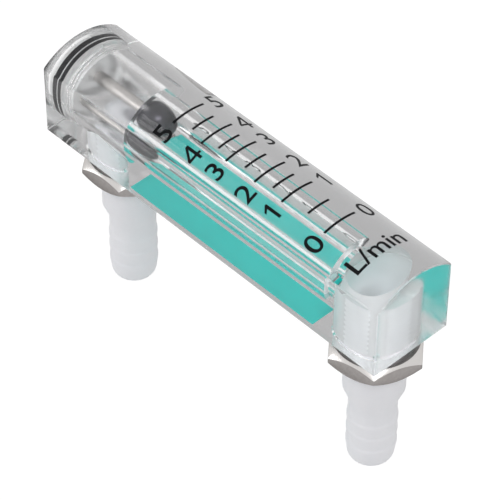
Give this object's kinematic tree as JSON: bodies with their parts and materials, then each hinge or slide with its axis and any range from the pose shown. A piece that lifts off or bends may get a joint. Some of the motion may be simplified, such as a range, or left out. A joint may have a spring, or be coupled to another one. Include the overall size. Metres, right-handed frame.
{
  "type": "oxygen flowmeter",
  "caption": "Clear acrylic block flowmeter: crowned scale face, ball float in a tapered bore, sealed end plug, barbed hose fittings with lock nuts at the back.",
  "frame": {"origin": "on the flat back face of the clear block, midway between the axes of the two ports", "axes": "+X along the measuring bore from the plug end to the zero end, +Y across the block, +Z out of the scale face"},
  "size_m": [0.0931, 0.0194, 0.0554],
  "materials": {
    "clear_acrylic": "polished clear acrylic",
    "plug_plastic": "turned translucent plastic",
    "seal_rubber": "moulded black rubber",
    "pin_steel": "ground stainless steel",
    "float_steel": "dark polished steel",
    "fitting_plastic": "moulded white nylon",
    "nut_nickel": "nickel plate, fine turned",
    "back_ink": "screen printed ink",
    "scale_ink": "screen printed ink"
  },
  "bodies": {
    "block": {"clear_block": "clear_acrylic", "end_plug": "plug_plastic", "plug_ring_outer": "seal_rubber", "plug_ring_inner": "seal_rubber", "stop_pin": "pin_steel", "inlet_fitting": "fitting_plastic", "outlet_fitting": "fitting_plastic", "back_print": "back_ink", "scale_strokes": "scale_ink"},
    "float": {"float_ball": "float_steel"},
    "inlet_nut": {"inlet_lock_nut": "nut_nickel"},
    "outlet_nut": {"outlet_lock_nut": "nut_nickel"}
  },
  "joints": [
    {"name": "float_travel", "type": "slide", "parent": "block", "child": "float", "axis": [1, 0, 0], "range_m": [0, 0.05025]},
    {"name": "inlet_nut_travel", "type": "slide", "parent": "block", "child": "inlet_nut", "axis": [0, 0, -1], "range_m": [-0.0024, 0.0083]},
    {"name": "outlet_nut_travel", "type": "slide", "parent": "block", "child": "outlet_nut", "axis": [0, 0, -1], "range_m": [-0.0024, 0.0083]}
  ]
}
